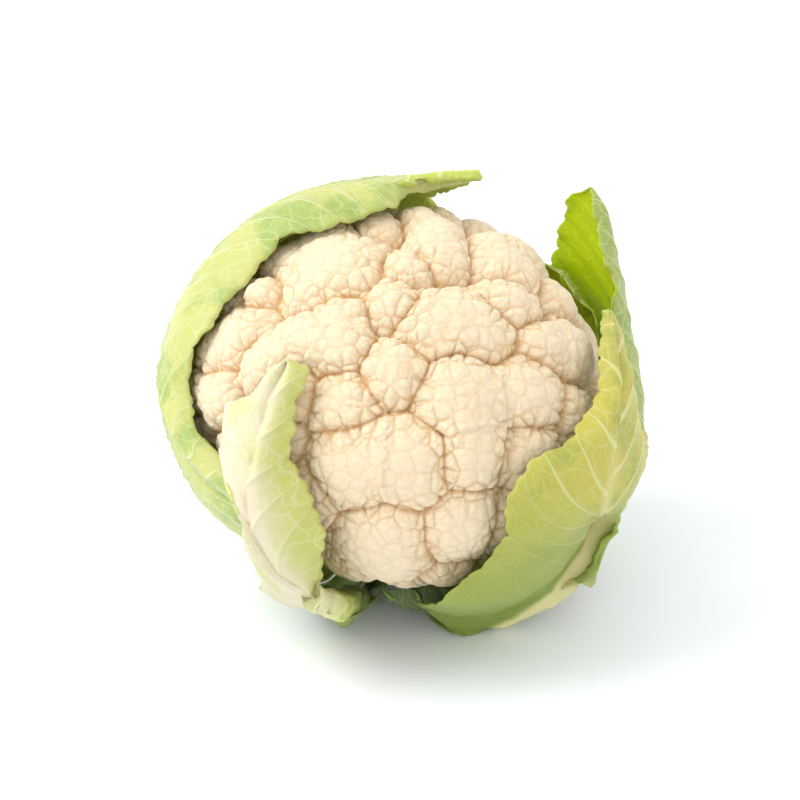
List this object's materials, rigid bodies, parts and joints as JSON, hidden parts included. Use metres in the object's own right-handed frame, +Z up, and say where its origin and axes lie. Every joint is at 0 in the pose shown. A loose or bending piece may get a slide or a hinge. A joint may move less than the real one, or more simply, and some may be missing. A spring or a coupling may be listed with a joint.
{
  "type": "cauliflower",
  "caption": "Cauliflower head with a lumpy cream curd, lying tipped towards the front in its cut pale green wrapper leaves.",
  "frame": {"origin": "on the surface that the head lies on, at the middle of the rectangle that the head covers", "axes": "+Z up from the surface, -Y towards the side that the picture was taken from, +X to the right as seen from there"},
  "size_m": [0.1947, 0.1738, 0.1582],
  "materials": {
    "curd": "moist matte cream vegetable flesh with fine granular buds and warmer creases",
    "stem": "smooth pale green stem, cut across at its end",
    "leaf_pale": "waxy pale green leaf with a cream midrib",
    "leaf_yellow_green": "waxy yellow green leaf with pale veins",
    "leaf_green": "waxy green leaf with pale veins",
    "leaf_dark": "dull dark green leaf"
  },
  "bodies": {
    "root": {"curd": "curd", "stem": "stem", "leaf_under_front": "leaf_dark", "leaf_left_wrap": "leaf_pale", "leaf_back": "leaf_green", "leaf_right_back": "leaf_green", "leaf_right_tall": "leaf_green", "leaf_left_back": "leaf_green", "leaf_front_left": "leaf_pale", "leaf_lower_right": "leaf_yellow_green"}
  },
  "joints": []
}
